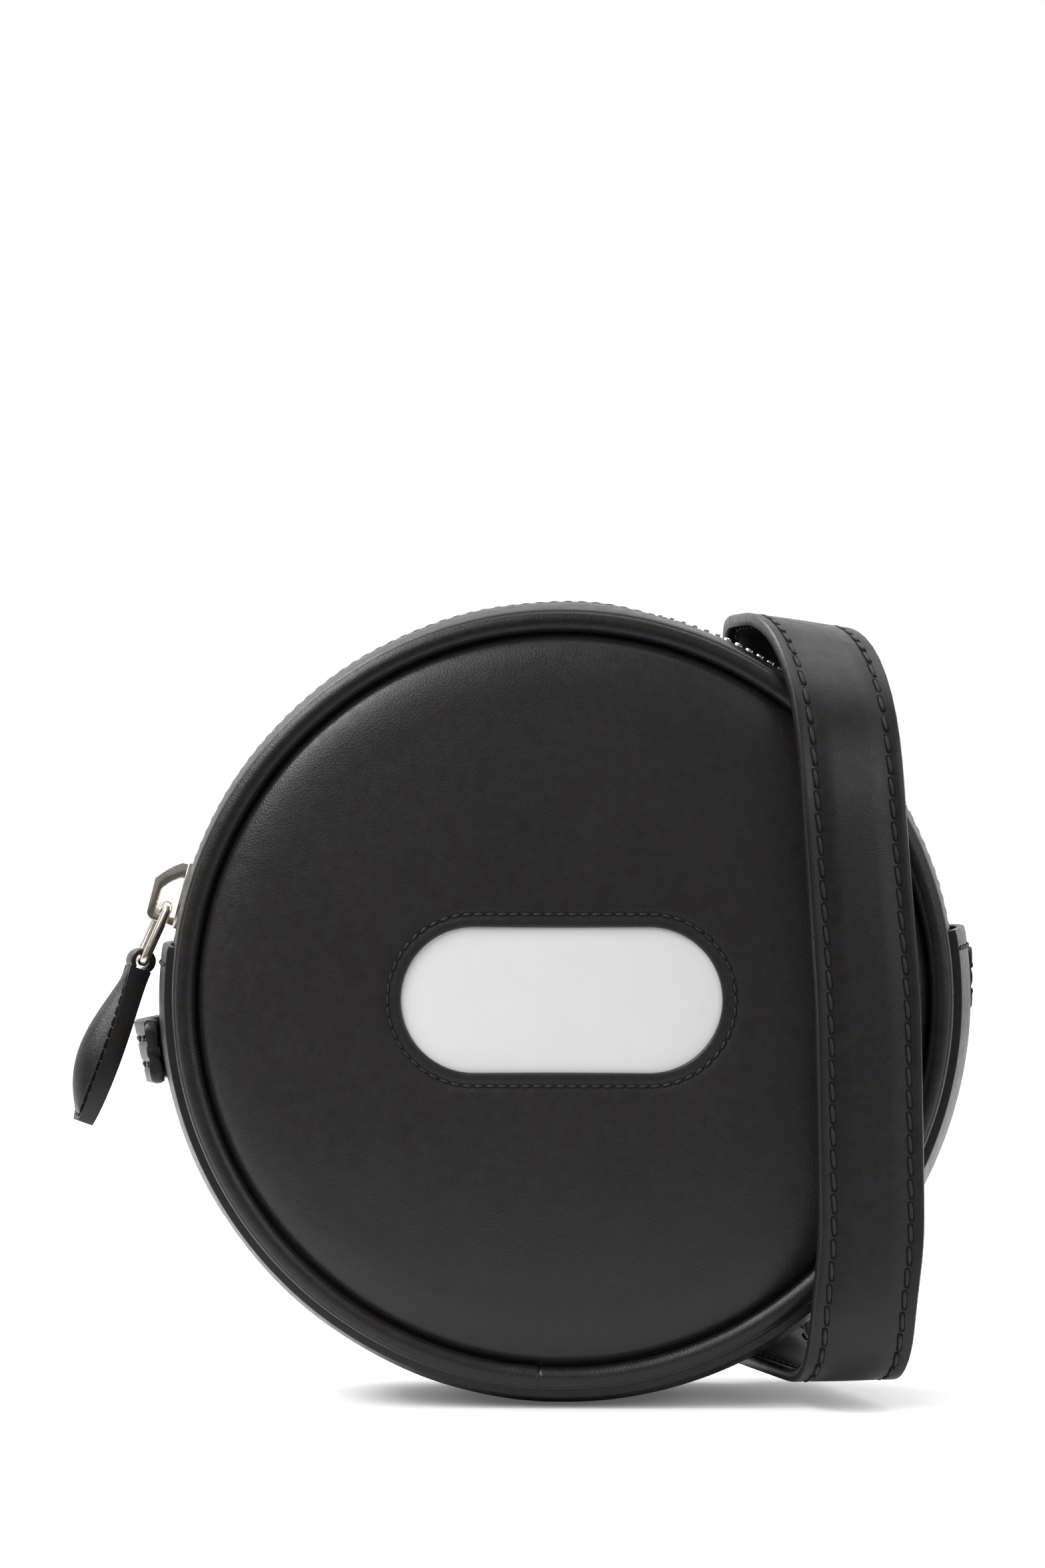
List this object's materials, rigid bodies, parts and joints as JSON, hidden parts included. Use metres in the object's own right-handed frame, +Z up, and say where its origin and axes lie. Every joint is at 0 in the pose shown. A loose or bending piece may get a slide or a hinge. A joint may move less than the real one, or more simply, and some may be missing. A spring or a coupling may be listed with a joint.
{
  "type": "round shoulder bag",
  "caption": "Small round shoulder bag with padded leather faces, piped edges, a zip over the top of its gusset, a leather zip pull and a flat strap looped round it.",
  "frame": {"origin": "on the flat under the lower gusset that the bag stands on, in the middle of its width and depth", "axes": "+X to the right seen from the front, +Y from the front face to the back face, +Z up"},
  "size_m": [0.1887, 0.0845, 0.1656],
  "materials": {
    "black_leather": "smooth satin with a fine grain",
    "white_vinyl": "smooth matt",
    "foam": "open foam, hidden",
    "fibre_board": "bonded fibre, hidden",
    "lining_cloth": "plain weave",
    "zip_tape": "herringbone weave",
    "nickel_teeth": "tumbled nickel",
    "polished_nickel": "polished"
  },
  "bodies": {
    "bag": {"front_panel": "black_leather", "back_panel": "black_leather", "front_piping": "black_leather", "back_piping": "black_leather", "lower_gusset": "black_leather", "zip_gusset_front": "black_leather", "zip_gusset_rear": "black_leather", "strap": "black_leather", "face_inlay": "white_vinyl", "front_padding": "foam", "front_board": "fibre_board", "back_board": "fibre_board", "gusset_board": "fibre_board", "front_lining": "lining_cloth", "back_lining": "lining_cloth", "gusset_lining": "lining_cloth", "zip_lining_front": "lining_cloth", "zip_lining_rear": "lining_cloth", "zip_tape_front": "zip_tape", "zip_tape_rear": "zip_tape", "zip_teeth_front": "nickel_teeth", "zip_teeth_rear": "nickel_teeth", "zip_top_stops": "nickel_teeth", "zip_bottom_stop": "nickel_teeth"},
    "slider": {"slider_body": "polished_nickel", "slider_crown": "polished_nickel"},
    "ring": {"pull_ring": "polished_nickel"},
    "pull": {"pull_tab": "black_leather"}
  },
  "joints": [
    {"name": "zip_slide", "type": "hinge", "parent": "bag", "child": "slider", "pos_m": [0, 0, 0.0836], "axis": [0, 1, 0], "range_deg": [0, 148], "deforming": ["zip_teeth_front", "zip_teeth_rear", "strap"]},
    {"name": "ring_swing", "type": "hinge", "parent": "slider", "child": "ring", "pos_m": [-0.0836, 0, 0.10222], "axis": [-0.4067, 0.9135, 0], "range_deg": [0, 135]},
    {"name": "pull_swing", "type": "hinge", "parent": "ring", "child": "pull", "pos_m": [-0.08845, -0.00216, 0.09058], "axis": [-0.4067, 0.9135, 0], "range_deg": [0, 60]}
  ]
}
